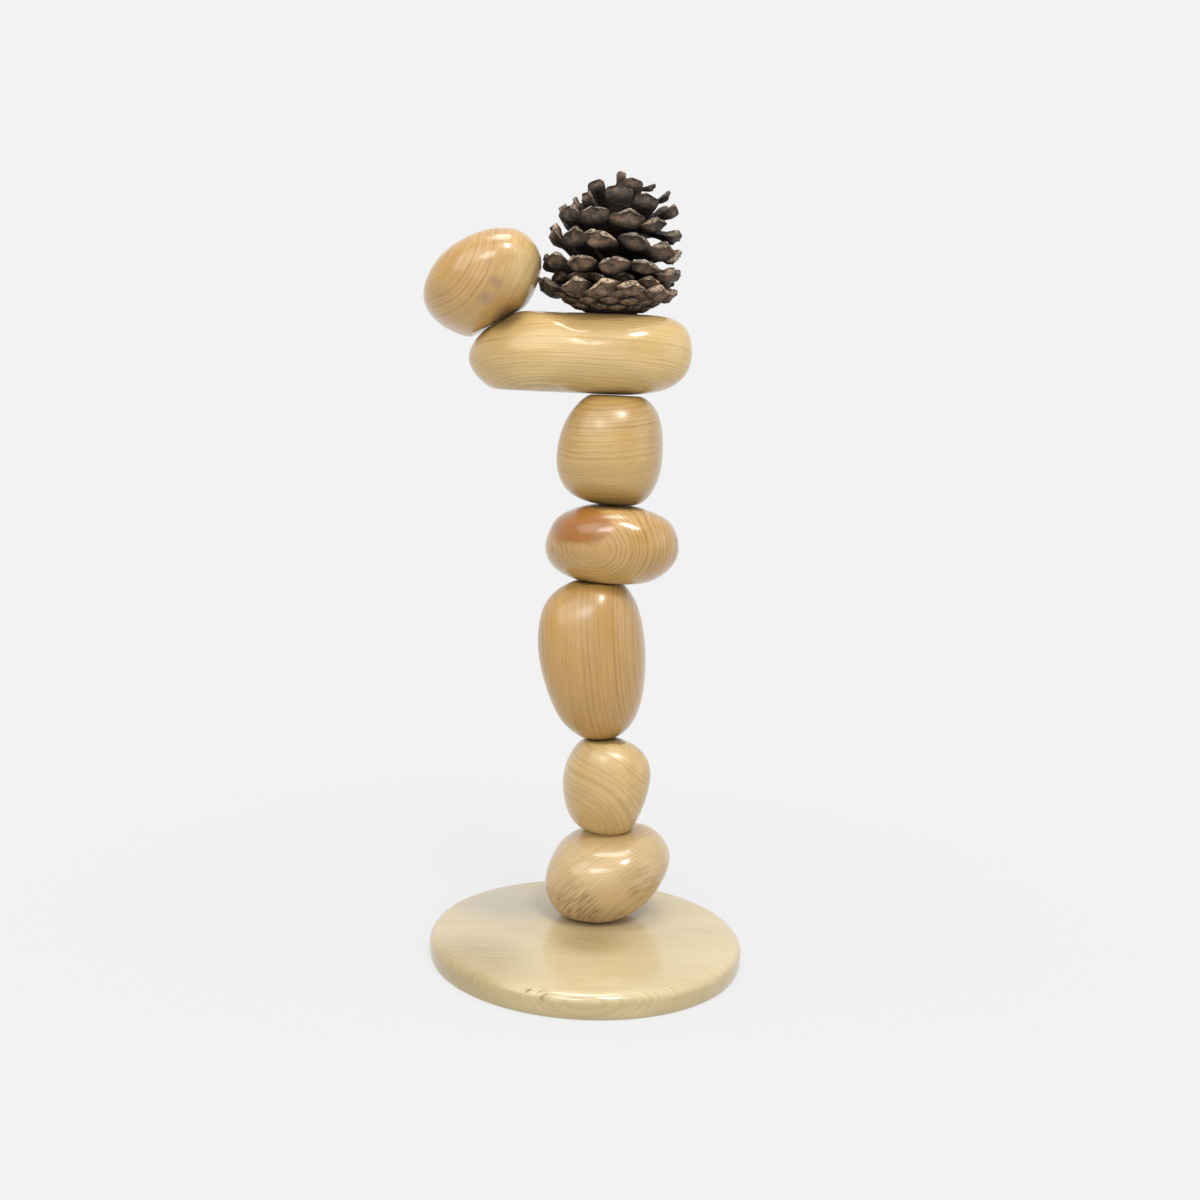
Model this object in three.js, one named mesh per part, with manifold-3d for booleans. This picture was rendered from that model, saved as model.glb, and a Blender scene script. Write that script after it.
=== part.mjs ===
// A decorative cairn: seven lacquered pine pebbles glued in a stack on a turned pine disc, with an
// open pine cone standing on the long pebble at the top.
// Millimetres, +Z up, seen from -Y. The origin is the middle of the disc's underside.

import * as THREE from 'three';
import { mergeVertices } from 'three/addons/utils/BufferGeometryUtils.js';
import Module from 'manifold-3d';

const wasm = await Module();
wasm.setup();

// Driving dimensions of the turned disc
const DISC_RADIUS = 73.6;
const DISC_FOOT_INSET = 0.8;
const DISC_WIDEST_HEIGHT = 4;
const DISC_SHOULDER_RADIUS = 65;
const DISC_SHOULDER_HEIGHT = 12.1;
const DISC_SEAT_RADIUS = 40;
const DISC_TURNING_STEPS = 48;

// Heights of the glued joints above the table
const SEAT_HEIGHT = 12.5;
const SMALL_FOOT_HEIGHT = 53;
const TALL_FOOT_HEIGHT = 101;
const AMBER_FOOT_HEIGHT = 177;
const UPPER_FOOT_HEIGHT = 213;
const SLAB_FOOT_HEIGHT = 264;
const CONE_FOOT_HEIGHT = 301;

// The stack stands behind the middle of the disc
const STACK_SETBACK = 23;

// Clearance where one piece is shaped to its neighbour
const JOINT_GAP = 0.3;

// The joint between the head and the slab: a sloping flat, as a point on it and its angle
const HEAD_JOINT_X = -52;
const HEAD_JOINT_HEIGHT = 296.2;
const HEAD_JOINT_DEGREES = 29.5;

// How finely the pebbles are faceted
const RIM_POINTS = 28;
const RINGS_PER_SIDE = 4;

// A block far larger than any piece, to cut with
const CUTTER_SIZE = 400;

const PALE_PINE = 0xd8bd8a;
const TAN_PINE = 0xc9a771;
const AMBER_PINE = 0xc08a4e;
const CONE_BROWN = 0x5f4b3e;

// Roughness of the gloss lacquer, of the duller lacquer on the disc, and of the dry cone
const GLOSS_LACQUER = 0.25;
const DISC_LACQUER = 0.3;
const DRY_BARK = 0.8;

// A closed triangle mesh as a solid that can be cut and joined
function solidFrom(geometry) {
  const bare = geometry.clone();
  bare.deleteAttribute('normal');
  bare.deleteAttribute('uv');
  const merged = mergeVertices(bare);
  return new wasm.Manifold(new wasm.Mesh({
    numProp: 3,
    vertProperties: new Float32Array(merged.attributes.position.array),
    triVerts: new Uint32Array(merged.index.array),
  }));
}

// A solid as a geometry with flat facets
function geometryFrom(solid) {
  const mesh = solid.getMesh();
  const geometry = new THREE.BufferGeometry();
  geometry.setAttribute('position', new THREE.BufferAttribute(new Float32Array(mesh.vertProperties), 3));
  geometry.setIndex(new THREE.BufferAttribute(new Uint32Array(mesh.triVerts), 1));
  geometry.computeVertexNormals();
  return geometry;
}

function finish(name, solid, color, roughness) {
  const material = new THREE.MeshStandardMaterial({ color, roughness, metalness: 0 });
  const mesh = new THREE.Mesh(geometryFrom(solid), material);
  mesh.name = name;
  return mesh;
}

// Stacks closed rings of points into one skin, with a point at each end
function skin(startPoint, rings, endPoint) {
  const count = rings[0].length;
  const points = [startPoint, ...rings.flat(), endPoint];
  const last = points.length - 1;
  const index = [];
  for (let k = 0; k < count; k += 1) {
    const next = (k + 1) % count;
    index.push(0, 1 + next, 1 + k);
    for (let ring = 0; ring < rings.length - 1; ring += 1) {
      const near = 1 + ring * count;
      const far = near + count;
      index.push(near + k, near + next, far + next);
      index.push(near + k, far + next, far + k);
    }
    const rim = 1 + (rings.length - 1) * count;
    index.push(rim + k, rim + next, last);
  }
  const geometry = new THREE.BufferGeometry();
  const flat = points.flatMap((p) => [p.x, p.y, p.z]);
  geometry.setAttribute('position', new THREE.BufferAttribute(new Float32Array(flat), 3));
  geometry.setIndex(index);
  return geometry;
}

// Keeps what lies on the lower side of a plane through a point of the stack's middle plane.
// The plane is level at 0 degrees and rises to the right as the angle grows.
function keepBelow(solid, x, height, degrees) {
  const block = new THREE.BoxGeometry(CUTTER_SIZE, CUTTER_SIZE, CUTTER_SIZE);
  block.translate(0, 0, CUTTER_SIZE / 2);
  block.rotateY(THREE.MathUtils.degToRad(-degrees));
  block.translate(x, 0, height);
  return solid.subtract(solidFrom(block));
}

function keepAbove(solid, x, height, degrees) {
  const block = new THREE.BoxGeometry(CUTTER_SIZE, CUTTER_SIZE, CUTTER_SIZE);
  block.translate(0, 0, -CUTTER_SIZE / 2);
  block.rotateY(THREE.MathUtils.degToRad(-degrees));
  block.translate(x, 0, height);
  return solid.subtract(solidFrom(block));
}

// A hand-sanded pebble. Its outline, seen from the front, is a smooth closed curve through a few
// [x, height] points, clockwise from the left. It swells by halfDepth to the front and the back
// along a superellipse, and its crown is the offset of the frontmost point from the middle.
function pebbleSolid({ outline, halfDepth, fullness = 2.4, crown = [0, 0], grow = 0 }) {
  const corners = outline.map(([x, height]) => new THREE.Vector3(x, 0, height));
  const curve = new THREE.CatmullRomCurve3(corners, true, 'centripetal');
  const rim = curve.getSpacedPoints(RIM_POINTS).slice(0, RIM_POINTS);
  const box = new THREE.Box3().setFromPoints(rim);
  const middle = box.getCenter(new THREE.Vector3());
  const swell = 2 / fullness;
  const depth = halfDepth + grow;

  const at = (turn, rimPoint) => {
    const reach = Math.cos(turn) ** swell;
    const side = Math.sign(turn);
    const rise = Math.abs(Math.sin(turn)) ** swell;
    const spread = rimPoint.clone().sub(middle);
    spread.setLength(spread.length() + grow).multiplyScalar(reach);
    const shift = new THREE.Vector3(crown[0], 0, crown[1]).multiplyScalar(-side * rise);
    return spread.add(middle).add(shift).setY(side * rise * depth);
  };

  const rings = [];
  for (let ring = -RINGS_PER_SIDE; ring <= RINGS_PER_SIDE; ring += 1) {
    const turn = (ring / (RINGS_PER_SIDE + 1)) * (Math.PI / 2);
    rings.push(rim.map((point) => at(turn, point)));
  }
  const front = at(-Math.PI / 2, rim[0]);
  const back = at(Math.PI / 2, rim[0]);
  return solidFrom(skin(front, rings, back));
}

// The turned disc: a flat foot with a small bevel, a rounded edge and a flat top that falls off a
// little towards the edge.
function baseDisc() {
  const edgeSteps = 4;
  const fallSteps = 2;
  const profile = [[0, 0], [DISC_RADIUS - DISC_FOOT_INSET, 0], [DISC_RADIUS, DISC_WIDEST_HEIGHT]];
  for (let step = 1; step <= edgeSteps; step += 1) {
    const turn = (step / edgeSteps) * (Math.PI / 2);
    const out = (DISC_RADIUS - DISC_SHOULDER_RADIUS) * Math.cos(turn);
    const up = (DISC_SHOULDER_HEIGHT - DISC_WIDEST_HEIGHT) * Math.sin(turn);
    profile.push([DISC_SHOULDER_RADIUS + out, DISC_WIDEST_HEIGHT + up]);
  }
  for (let step = 1; step <= fallSteps; step += 1) {
    const radius = THREE.MathUtils.lerp(DISC_SHOULDER_RADIUS, DISC_SEAT_RADIUS, step / fallSteps);
    const fall = (radius ** 2 - DISC_SEAT_RADIUS ** 2) / (DISC_SHOULDER_RADIUS ** 2 - DISC_SEAT_RADIUS ** 2);
    profile.push([radius, SEAT_HEIGHT - fall * (SEAT_HEIGHT - DISC_SHOULDER_HEIGHT)]);
  }
  profile.push([0, SEAT_HEIGHT]);
  const points = profile.map(([radius, height]) => new THREE.Vector2(radius, height));
  const turned = new THREE.LatheGeometry(points, DISC_TURNING_STEPS);
  turned.rotateX(Math.PI / 2);
  return finish('base_disc', solidFrom(turned), PALE_PINE, DISC_LACQUER);
}

// The small heart-shaped pebble, also used to shape the seat under it
const SMALL_PEBBLE = {
  outline: [
    [-14.5, 76.5], [-11.5, 92], [-3.5, 101], [8.5, 101.5], [22, 95.5],
    [27, 86], [24.5, 68], [17.5, 54.5], [8, 51.5], [-8.5, 58],
  ],
  halfDepth: 20,
  crown: [0, 2],
};

function smallPebble() {
  let solid = keepAbove(pebbleSolid(SMALL_PEBBLE), 0, SMALL_FOOT_HEIGHT, 0);
  solid = keepBelow(solid, 0, TALL_FOOT_HEIGHT, 0);
  return finish('pebble_small', solid, PALE_PINE, GLOSS_LACQUER);
}

// The potato-shaped bottom pebble, with a seat cut in its top for the small pebble
function bottomPebble() {
  let solid = pebbleSolid({
    outline: [
      [-20.5, 28.5], [-16.5, 44], [-6.5, 52], [11, 55.5], [29, 54],
      [39, 42.5], [35.5, 30], [26.5, 19], [9, 11.5], [-13, 15.5],
    ],
    halfDepth: 27,
    crown: [0, -2],
  });
  solid = keepAbove(solid, 0, SEAT_HEIGHT, 0);
  const swollen = pebbleSolid({ ...SMALL_PEBBLE, grow: JOINT_GAP });
  const seat = keepAbove(swollen, 0, SMALL_FOOT_HEIGHT - JOINT_GAP, 0);
  return finish('pebble_bottom', solid.subtract(seat), PALE_PINE, GLOSS_LACQUER);
}

// The tall oval pebble, of darker wood
function tallPebble() {
  let solid = pebbleSolid({
    outline: [
      [-29, 146], [-26, 165.5], [-16, 175], [3.5, 179.5], [14.5, 170],
      [21.5, 146], [20.5, 116.5], [14, 104], [1, 98.5], [-14, 106], [-23, 121.5],
    ],
    halfDepth: 24,
    crown: [1, 3],
  });
  solid = keepBelow(keepAbove(solid, 0, TALL_FOOT_HEIGHT, 0), 0, AMBER_FOOT_HEIGHT, 0);
  return finish('pebble_tall', solid, TAN_PINE, GLOSS_LACQUER);
}

// The wide flattened pebble with the amber heartwood
function amberPebble() {
  let solid = pebbleSolid({
    outline: [
      [-28, 190], [-26.5, 199], [-22, 206.5], [1, 214.5], [21, 210.5], [30.5, 205.5],
      [35, 192.5], [31, 183.5], [20.5, 176.5], [2.5, 173.5], [-22.5, 181],
    ],
    halfDepth: 29,
    crown: [2, -1],
  });
  solid = keepBelow(keepAbove(solid, 0, AMBER_FOOT_HEIGHT, 0), 0, UPPER_FOOT_HEIGHT, 0);
  return finish('pebble_amber', solid, AMBER_PINE, GLOSS_LACQUER);
}

// The upright pebble under the slab, square in outline with full corners
function upperPebble() {
  let solid = pebbleSolid({
    outline: [
      [-23.5, 229], [-21, 249.5], [-11.5, 262.5], [0, 266], [15, 263.5],
      [22.5, 255], [24, 228], [16.5, 214.5], [3.5, 212], [-17, 217.5],
    ],
    halfDepth: 24,
    crown: [0, 1],
  });
  solid = keepBelow(keepAbove(solid, 0, UPPER_FOOT_HEIGHT, 0), 0, SLAB_FOOT_HEIGHT, 0);
  return finish('pebble_upper', solid, PALE_PINE, GLOSS_LACQUER);
}

// The long flat pebble laid across the stack, planed off straight at its lower left end
function slabPebble() {
  let solid = pebbleSolid({
    outline: [
      [-67, 277], [-62, 289], [-46, 300], [-24, 301], [3, 302.5], [23, 301],
      [34, 294.5], [35.5, 277.5], [26.5, 268.5], [14, 265], [-24.5, 263], [-55, 264],
    ],
    halfDepth: 28,
    fullness: 2.6,
  });
  solid = keepBelow(keepAbove(solid, 0, SLAB_FOOT_HEIGHT, 0), 0, CONE_FOOT_HEIGHT, 0);
  solid = keepBelow(solid, HEAD_JOINT_X, HEAD_JOINT_HEIGHT - JOINT_GAP / 2, HEAD_JOINT_DEGREES);
  return finish('slab_pebble', solid, PALE_PINE, GLOSS_LACQUER);
}

// The pebble like a head on the left end of the slab
function headPebble() {
  let solid = pebbleSolid({
    outline: [
      [-89, 304.5], [-84, 321.5], [-64.5, 335], [-45, 335.5],
      [-35.5, 323.5], [-39.5, 306], [-50, 296.5], [-63.5, 288.5], [-82, 294.5],
    ],
    halfDepth: 26,
    crown: [0, -1],
  });
  solid = keepAbove(solid, HEAD_JOINT_X, HEAD_JOINT_HEIGHT + JOINT_GAP / 2, HEAD_JOINT_DEGREES);
  return finish('head_pebble', solid, PALE_PINE, GLOSS_LACQUER);
}

// The pine cone's scales climb one shallow spiral. Each row of this list is one turn of it, from
// the bowl at the foot to the crest: height and reach of the scale tips, the angle at which the
// scales rise, their width and length, and how many there are in that turn.
const CONE_TURNS = [
  { tip: 304.5, reach: 15.5, rise: -12, width: 8, length: 8, scales: 11.4 },
  { tip: 307, reach: 22, rise: -10, width: 10, length: 13, scales: 11.4 },
  { tip: 310.3, reach: 28, rise: -6, width: 12, length: 19, scales: 11.4 },
  { tip: 314.5, reach: 33, rise: 0, width: 13, length: 25, scales: 11.4 },
  { tip: 324, reach: 31.5, rise: 8, width: 13.5, length: 26, scales: 11.4 },
  { tip: 333.5, reach: 29.5, rise: 18, width: 13.5, length: 25, scales: 11.4 },
  { tip: 344, reach: 26, rise: 32, width: 12.5, length: 24, scales: 11.4 },
  { tip: 354, reach: 21, rise: 48, width: 10.5, length: 22, scales: 10 },
  { tip: 361, reach: 13, rise: 62, width: 8, length: 18, scales: 7 },
  { tip: 365, reach: 3, rise: 80, width: 5, length: 14, scales: 4 },
];
const CONE_SPIRAL_START = 17;
const CONE_SCALE_THICKNESS = 4;

// How a scale's thickness is shared above and below its widest line
const SCALE_ABOVE = 0.4;
const SCALE_BELOW = 0.6;

// The middle of the cone's foot, and how far its axis leans to the right for each millimetre up
const CONE_FOOT_X = -2.5;
const CONE_LEAN = 0.04;
const CONE_LEANING = new THREE.Matrix4().set(
  1, 0, CONE_LEAN, -CONE_LEAN * CONE_FOOT_HEIGHT,
  0, 1, 0, 0,
  0, 0, 1, 0,
  0, 0, 0, 1,
);

// The core of the cone, hidden between the scales, with the flat stub that it stands on
const CONE_CORE = [
  [0, 301], [12.5, 301], [13, 303], [11, 308], [10, 317], [9, 331], [6.5, 343], [3, 355], [0, 357],
];
const CONE_CORE_STEPS = 12;

// Stations along a scale from its root to its tip, as shares of its length, width and thickness
const SCALE_STATIONS = [
  { along: 0, wide: 0.35, thick: 0.5 },
  { along: 0.5, wide: 0.75, thick: 0.6 },
  { along: 0.8, wide: 1, thick: 1 },
  { along: 0.97, wide: 0.62, thick: 0.8 },
];

// A turn's values at any place along the spiral
function coneTurnAt(turn) {
  const lower = Math.min(Math.floor(turn), CONE_TURNS.length - 2);
  const share = turn - lower;
  const mixed = {};
  for (const key of Object.keys(CONE_TURNS[0])) {
    mixed[key] = THREE.MathUtils.lerp(CONE_TURNS[lower][key], CONE_TURNS[lower + 1][key], share);
  }
  return mixed;
}

// One woody scale: narrow at the root, widest where its thick end begins, with a blunt tip
function coneScale(azimuth, { tip, reach, rise, width, length }) {
  const lift = THREE.MathUtils.degToRad(rise);
  const place = CONE_LEANING.clone();
  place.multiply(new THREE.Matrix4().makeRotationZ(azimuth - Math.PI / 2));
  place.multiply(new THREE.Matrix4().makeTranslation(reach, 0, tip));
  place.multiply(new THREE.Matrix4().makeRotationY(-lift));
  place.multiply(new THREE.Matrix4().makeTranslation(-length, 0, 0));
  const rings = SCALE_STATIONS.map(({ along, wide, thick }) => {
    const half = (wide * width) / 2;
    const up = thick * CONE_SCALE_THICKNESS * SCALE_ABOVE;
    const down = thick * CONE_SCALE_THICKNESS * SCALE_BELOW;
    const section = [[half, 0], [0, up], [-half, 0], [0, -down]];
    return section.map(([y, z]) => new THREE.Vector3(along * length, y, z).applyMatrix4(place));
  });
  const root = new THREE.Vector3(0, 0, 0).applyMatrix4(place);
  const end = new THREE.Vector3(length, 0, 0).applyMatrix4(place);
  return solidFrom(skin(root, rings, end));
}

function pineCone() {
  const profile = CONE_CORE.map(([radius, height]) => new THREE.Vector2(radius, height));
  const core = new THREE.LatheGeometry(profile, CONE_CORE_STEPS);
  core.rotateX(Math.PI / 2);
  core.applyMatrix4(CONE_LEANING);
  let solid = solidFrom(core);
  let degrees = CONE_SPIRAL_START;
  while (degrees / 360 < CONE_TURNS.length - 1) {
    const values = coneTurnAt(degrees / 360);
    solid = solid.add(coneScale(THREE.MathUtils.degToRad(degrees), values));
    degrees += 360 / values.scales;
  }
  const cone = finish('pine_cone', keepAbove(solid, 0, CONE_FOOT_HEIGHT, 0), CONE_BROWN, DRY_BARK);
  cone.position.x = CONE_FOOT_X;
  return cone;
}

const stack = new THREE.Group();
stack.position.y = STACK_SETBACK;
stack.add(
  bottomPebble(),
  smallPebble(),
  tallPebble(),
  amberPebble(),
  upperPebble(),
  slabPebble(),
  headPebble(),
  pineCone(),
);

const cairn = new THREE.Group();
cairn.add(baseDisc(), stack);

export default cairn;
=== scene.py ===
# %% [markdown]
# # A cairn of wooden pebbles with a pine cone
#
# The real ornament is a stack of seven pebble shapes, turned and sanded from pine and finished
# with a clear gloss lacquer. It stands on a round turned disc, and an open pine cone stands on
# top. The measured solids come first: they hold the size and the place of every piece. The fine
# pieces of this scene are then laid over them in the same frame, in metres, with Z up.

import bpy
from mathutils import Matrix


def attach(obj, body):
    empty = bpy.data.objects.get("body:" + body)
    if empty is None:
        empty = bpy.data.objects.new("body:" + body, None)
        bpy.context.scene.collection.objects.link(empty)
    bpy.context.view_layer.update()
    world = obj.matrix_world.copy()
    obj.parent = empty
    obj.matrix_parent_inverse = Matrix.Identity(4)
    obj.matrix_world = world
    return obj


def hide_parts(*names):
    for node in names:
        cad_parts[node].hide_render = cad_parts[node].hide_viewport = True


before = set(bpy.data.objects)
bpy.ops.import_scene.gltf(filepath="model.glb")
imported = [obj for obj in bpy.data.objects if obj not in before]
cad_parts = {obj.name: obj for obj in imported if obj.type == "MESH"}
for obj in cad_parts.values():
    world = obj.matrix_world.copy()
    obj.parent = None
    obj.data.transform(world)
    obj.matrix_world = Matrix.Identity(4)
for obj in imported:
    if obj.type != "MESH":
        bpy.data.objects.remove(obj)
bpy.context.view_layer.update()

# %% [markdown]
# ## Modules and units
#
# Every shape is worked out in millimetres, as a turner would measure it, and the scene counts in
# metres, so one factor turns the one into the other. Number arrays move whole rings of points at
# once, which is quicker than moving them one by one.

# %% Modules and units
import math
import random

import bpy
import numpy as np
from mathutils import Matrix, Vector

MM = 0.001
print("one millimetre is", MM, "of the scene's units")

# %% [markdown]
# ## The camera
#
# The picture is taken from the front and a little above the disc, at about the height of the
# long pebble, and the camera is rolled slightly, so the stack seems to lean to the right. A
# camera could be aimed with a constraint, but writing its three axes down keeps the roll exact.

# %% Camera
CAMERA_PLACE = Vector((-0.0009, -0.667, 0.273))
CAMERA_PITCH = math.radians(8.7)
CAMERA_ROLL = math.radians(2.75)
FOCAL_PIXELS = 1470.4
PICTURE_PIXELS = 1200
SENSOR = 36.0


def camera_matrix(place, pitch, roll):
    """Camera axes for a view along +Y that looks down by the pitch and is turned by the roll."""
    forward = Vector((0, math.cos(pitch), -math.sin(pitch)))
    right = Vector((1, 0, 0))
    up = Vector((0, math.sin(pitch), math.cos(pitch)))
    rolled_up = up * math.cos(roll) - right * math.sin(roll)
    rolled_right = right * math.cos(roll) + up * math.sin(roll)
    axes = Matrix((rolled_right, rolled_up, -forward)).transposed()
    return Matrix.Translation(place) @ axes.to_4x4()


camera_data = bpy.data.cameras.new("camera")
camera_data.sensor_width = SENSOR
camera_data.lens = SENSOR * FOCAL_PIXELS / PICTURE_PIXELS
camera = bpy.data.objects.new("camera", camera_data)
camera.matrix_world = camera_matrix(CAMERA_PLACE, CAMERA_PITCH, CAMERA_ROLL)
bpy.context.scene.collection.objects.link(camera)
bpy.context.scene.camera = camera
bpy.context.scene.view_settings.view_transform = "Standard"
print("lens", round(camera_data.lens, 2), "mm")

# %% [markdown]
# ## Smooth outlines
#
# Each pebble is a free shape that a belt sander left, so no ready-made solid fits it. Its
# outline is drawn as a closed curve through a few measured points. A curve of this kind bends
# unevenly near its points, which a gloss lacquer would show, so the curve is divided evenly and
# each point is then drawn a little towards its neighbours.

# %% Closed outlines
OUTLINE_POINTS = 208
OUTLINE_SMOOTHING = 8
STEPS_PER_SPAN = 40


def curve_through(points):
    """Closed centripetal curve through the points, with many steps between each two."""
    points = np.array(points, dtype=float)
    count = len(points)
    curve = []
    for index in range(count):
        p0, p1, p2, p3 = (points[(index + k - 1) % count] for k in range(4))
        d0, d1, d2 = (np.linalg.norm(b - a) ** 0.5 for a, b in ((p0, p1), (p1, p2), (p2, p3)))
        leave = ((p1 - p0) / d0 - (p2 - p0) / (d0 + d1) + (p2 - p1) / d1) * d1
        arrive = ((p2 - p1) / d1 - (p3 - p1) / (d1 + d2) + (p3 - p2) / d2) * d1
        for step in range(STEPS_PER_SPAN):
            t = step / STEPS_PER_SPAN
            curve.append(
                p1 * (2 * t**3 - 3 * t**2 + 1)
                + leave * (t**3 - 2 * t**2 + t)
                + p2 * (3 * t**2 - 2 * t**3)
                + arrive * (t**3 - t**2)
            )
    return np.array(curve)


def even_outline(points, count=OUTLINE_POINTS, passes=OUTLINE_SMOOTHING):
    """The closed curve divided evenly, with its bends evened out."""
    curve = curve_through(points)
    closed = np.vstack([curve, curve[:1]])
    along = np.concatenate([[0], np.cumsum(np.linalg.norm(np.diff(closed, axis=0), axis=1))])
    places = np.linspace(0, along[-1], count, endpoint=False)
    ring = np.stack([np.interp(places, along, closed[:, k]) for k in range(2)], axis=1)
    for _ in range(passes):
        ring = (np.roll(ring, 1, 0) + 2 * ring + np.roll(ring, -1, 0)) / 4
    return ring


print("an outline has", OUTLINE_POINTS, "points")

# %% [markdown]
# ## Pebble surfaces
#
# From its outline, a pebble swells to the front and to the back like a cushion. Rings of the
# outline shrink towards the middle of each side along a curve between an ellipse and a box, and
# the fullness says how near to a box. The crown moves the top of the front swelling across and
# up, because a hand-sanded pebble is never even. A subdivided cube could be sculpted instead,
# but rings keep the measured outline exactly.

# %% Pebble surface
SIDE_RINGS = 84
FULLNESS = 2.4


def pebble_points(outline, half_depth, fullness=FULLNESS, crown=(0, 0)):
    """Points of a cushion-shaped pebble in millimetres: front pole, rings, back pole."""
    rim = even_outline(outline)
    middle = (rim.min(axis=0) + rim.max(axis=0)) / 2
    swell = 2 / fullness
    rows = []
    for turn in np.radians(np.linspace(-90, 90, SIDE_RINGS + 1)):
        reach = max(math.cos(turn), 0) ** swell
        rise = abs(math.sin(turn)) ** swell
        side = math.copysign(1, turn)
        flat = middle + (rim - middle) * reach - np.array(crown) * side * rise
        depth = np.full(len(flat), side * rise * half_depth)
        rows.append(np.stack([flat[:, 0], depth, flat[:, 1]], axis=1))
    return np.vstack([rows[0][:1], *rows[1:-1], rows[-1][:1]])


print("a pebble has", SIDE_RINGS - 1, "rings")

# %% [markdown]
# ## From points to pieces
#
# The pebbles, the disc and the scales of the cone are all skins: a first point, rings of points
# and a last point. One helper joins such points with faces, and another makes the object, lets
# it ride on the ornament's one rigid body and says which measured solid it takes the place of.


# %% Skins and pieces
def skin_faces(ring_size, ring_count):
    """Faces of a skin: a start point, rings of points, and an end point."""
    faces = []
    last = 1 + ring_size * ring_count
    for k in range(ring_size):
        after = (k + 1) % ring_size
        faces.append((0, 1 + k, 1 + after))
        for ring in range(ring_count - 1):
            low = 1 + ring * ring_size
            high = low + ring_size
            faces.append((low + k, high + k, high + after, low + after))
        end = last - ring_size
        faces.append((last, end + after, end + k))
    return faces


def new_piece(name, points, faces, nodes):
    """A smooth mesh object made from points in metres, in place of measured solids."""
    mesh = bpy.data.meshes.new(name)
    mesh.from_pydata([tuple(p) for p in points], [], [tuple(f) for f in faces])
    mesh.polygons.foreach_set("use_smooth", [True] * len(mesh.polygons))
    mesh.update()
    piece = bpy.data.objects.new(name, mesh)
    bpy.context.scene.collection.objects.link(piece)
    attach(piece, "root")
    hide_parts(*nodes)
    return piece


print("a pebble's skin has", len(skin_faces(OUTLINE_POINTS, SIDE_RINGS - 1)), "faces")

# %% [markdown]
# ## Sanded joints
#
# Where two pebbles are glued together, both are sanded flat. A Boolean cut would leave a hard
# edge. Here the points are held above or below a plane instead, with a small rounded bend, which
# keeps the mesh in one piece and catches the light as a worn edge does. A hair-thin gap is left
# for the glue.

# %% Sanded joints
JOINT_GAP = 0.16
FLAT_ROUNDING = 0.28


def held_below(distance, limit, rounding):
    """Distances held below a limit, with a rounded bend instead of a sharp one."""
    return limit - rounding * np.logaddexp(0, (limit - distance) / rounding)


def plane_normal(degrees):
    """Upward direction across a joint that rises to the right by the given degrees."""
    turn = math.radians(degrees)
    return np.array([-math.sin(turn), 0, math.cos(turn)])


def sand_flat(points, place, degrees, above, rounding=FLAT_ROUNDING):
    """Hold the points above or below a joint plane through a place in millimetres."""
    up = plane_normal(degrees)
    distance = (points - np.array(place)) @ up
    limit = -JOINT_GAP / 2
    if above:
        held = -held_below(-distance, limit, rounding)
    else:
        held = held_below(distance, limit, rounding)
    return points + np.outer(held - distance, up)


print("each joint has a gap of", JOINT_GAP, "mm")

# %% [markdown]
# ## The seven pebbles
#
# The outlines are seen from the front, clockwise from the left, in millimetres across and up.
# The heights of the joints are shared by the pebbles above and below them. The long pebble lies
# across the stack, and its left end carries the head pebble on a slanting joint.

# %% Pebble measures
SEAT, SMALL_FOOT, TALL_FOOT, AMBER_FOOT = 12.5, 53, 101, 177
UPPER_FOOT, SLAB_FOOT, CONE_FOOT = 213, 264, 301
HEAD_JOINT = (-52, 0, 296.2)
HEAD_JOINT_DEGREES = 29.5

PEBBLES = {
    "pebble_bottom": {
        "outline": [
            [-20.5, 28.5], [-16.5, 44], [-6.5, 52], [11, 55.5], [29, 54],
            [39, 42.5], [35.5, 30], [26.5, 19], [9, 11.5], [-13, 15.5],
        ],
        "half_depth": 27, "crown": (-3, -2),
    },
    "pebble_small": {
        "outline": [
            [-14.5, 76.5], [-11.5, 92], [-3.5, 101], [8.5, 101.5], [22, 95.5],
            [27, 86], [24.5, 68], [17.5, 54.5], [8, 51.5], [-8.5, 58],
        ],
        "half_depth": 20, "crown": (2, 4),
    },
    "pebble_tall": {
        "outline": [
            [-29, 146], [-26, 165.5], [-16, 175], [3.5, 179.5], [14.5, 170],
            [21.5, 146], [20.5, 116.5], [14, 104], [1, 98.5], [-14, 106], [-23, 121.5],
        ],
        "half_depth": 24, "crown": (-3, 3),
    },
    "pebble_amber": {
        "outline": [
            [-28, 190], [-26.5, 199], [-22, 206.5], [1, 214.5], [21, 210.5], [30.5, 205.5],
            [35, 192.5], [31, 183.5], [20.5, 176.5], [2.5, 173.5], [-22.5, 181],
        ],
        "half_depth": 29, "crown": (1, 4),
    },
    "pebble_upper": {
        "outline": [
            [-23.5, 229], [-21, 249.5], [-11.5, 262.5], [0, 266], [15, 263.5],
            [22.5, 255], [24, 228], [16.5, 214.5], [3.5, 212], [-17, 217.5],
        ],
        "half_depth": 24, "crown": (-3, 2),
    },
    "slab_pebble": {
        "outline": [
            [-67, 277], [-62, 289], [-46, 300], [-24, 301], [3, 302.5], [23, 301],
            [32.9, 294.5], [34.4, 277.5], [26.5, 268.5], [14, 265], [-24.5, 263], [-55, 264],
        ],
        "half_depth": 28, "fullness": 2.1, "crown": (8, 1),
    },
    "head_pebble": {
        "outline": [
            [-89, 304.5], [-83, 320.5], [-63.5, 333.4], [-45, 334.2],
            [-35.5, 323.5], [-39.5, 306], [-50, 296.5], [-63.5, 288.5], [-82, 294.5],
        ],
        "half_depth": 26, "crown": (3, 5.5),
    },
}

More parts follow.
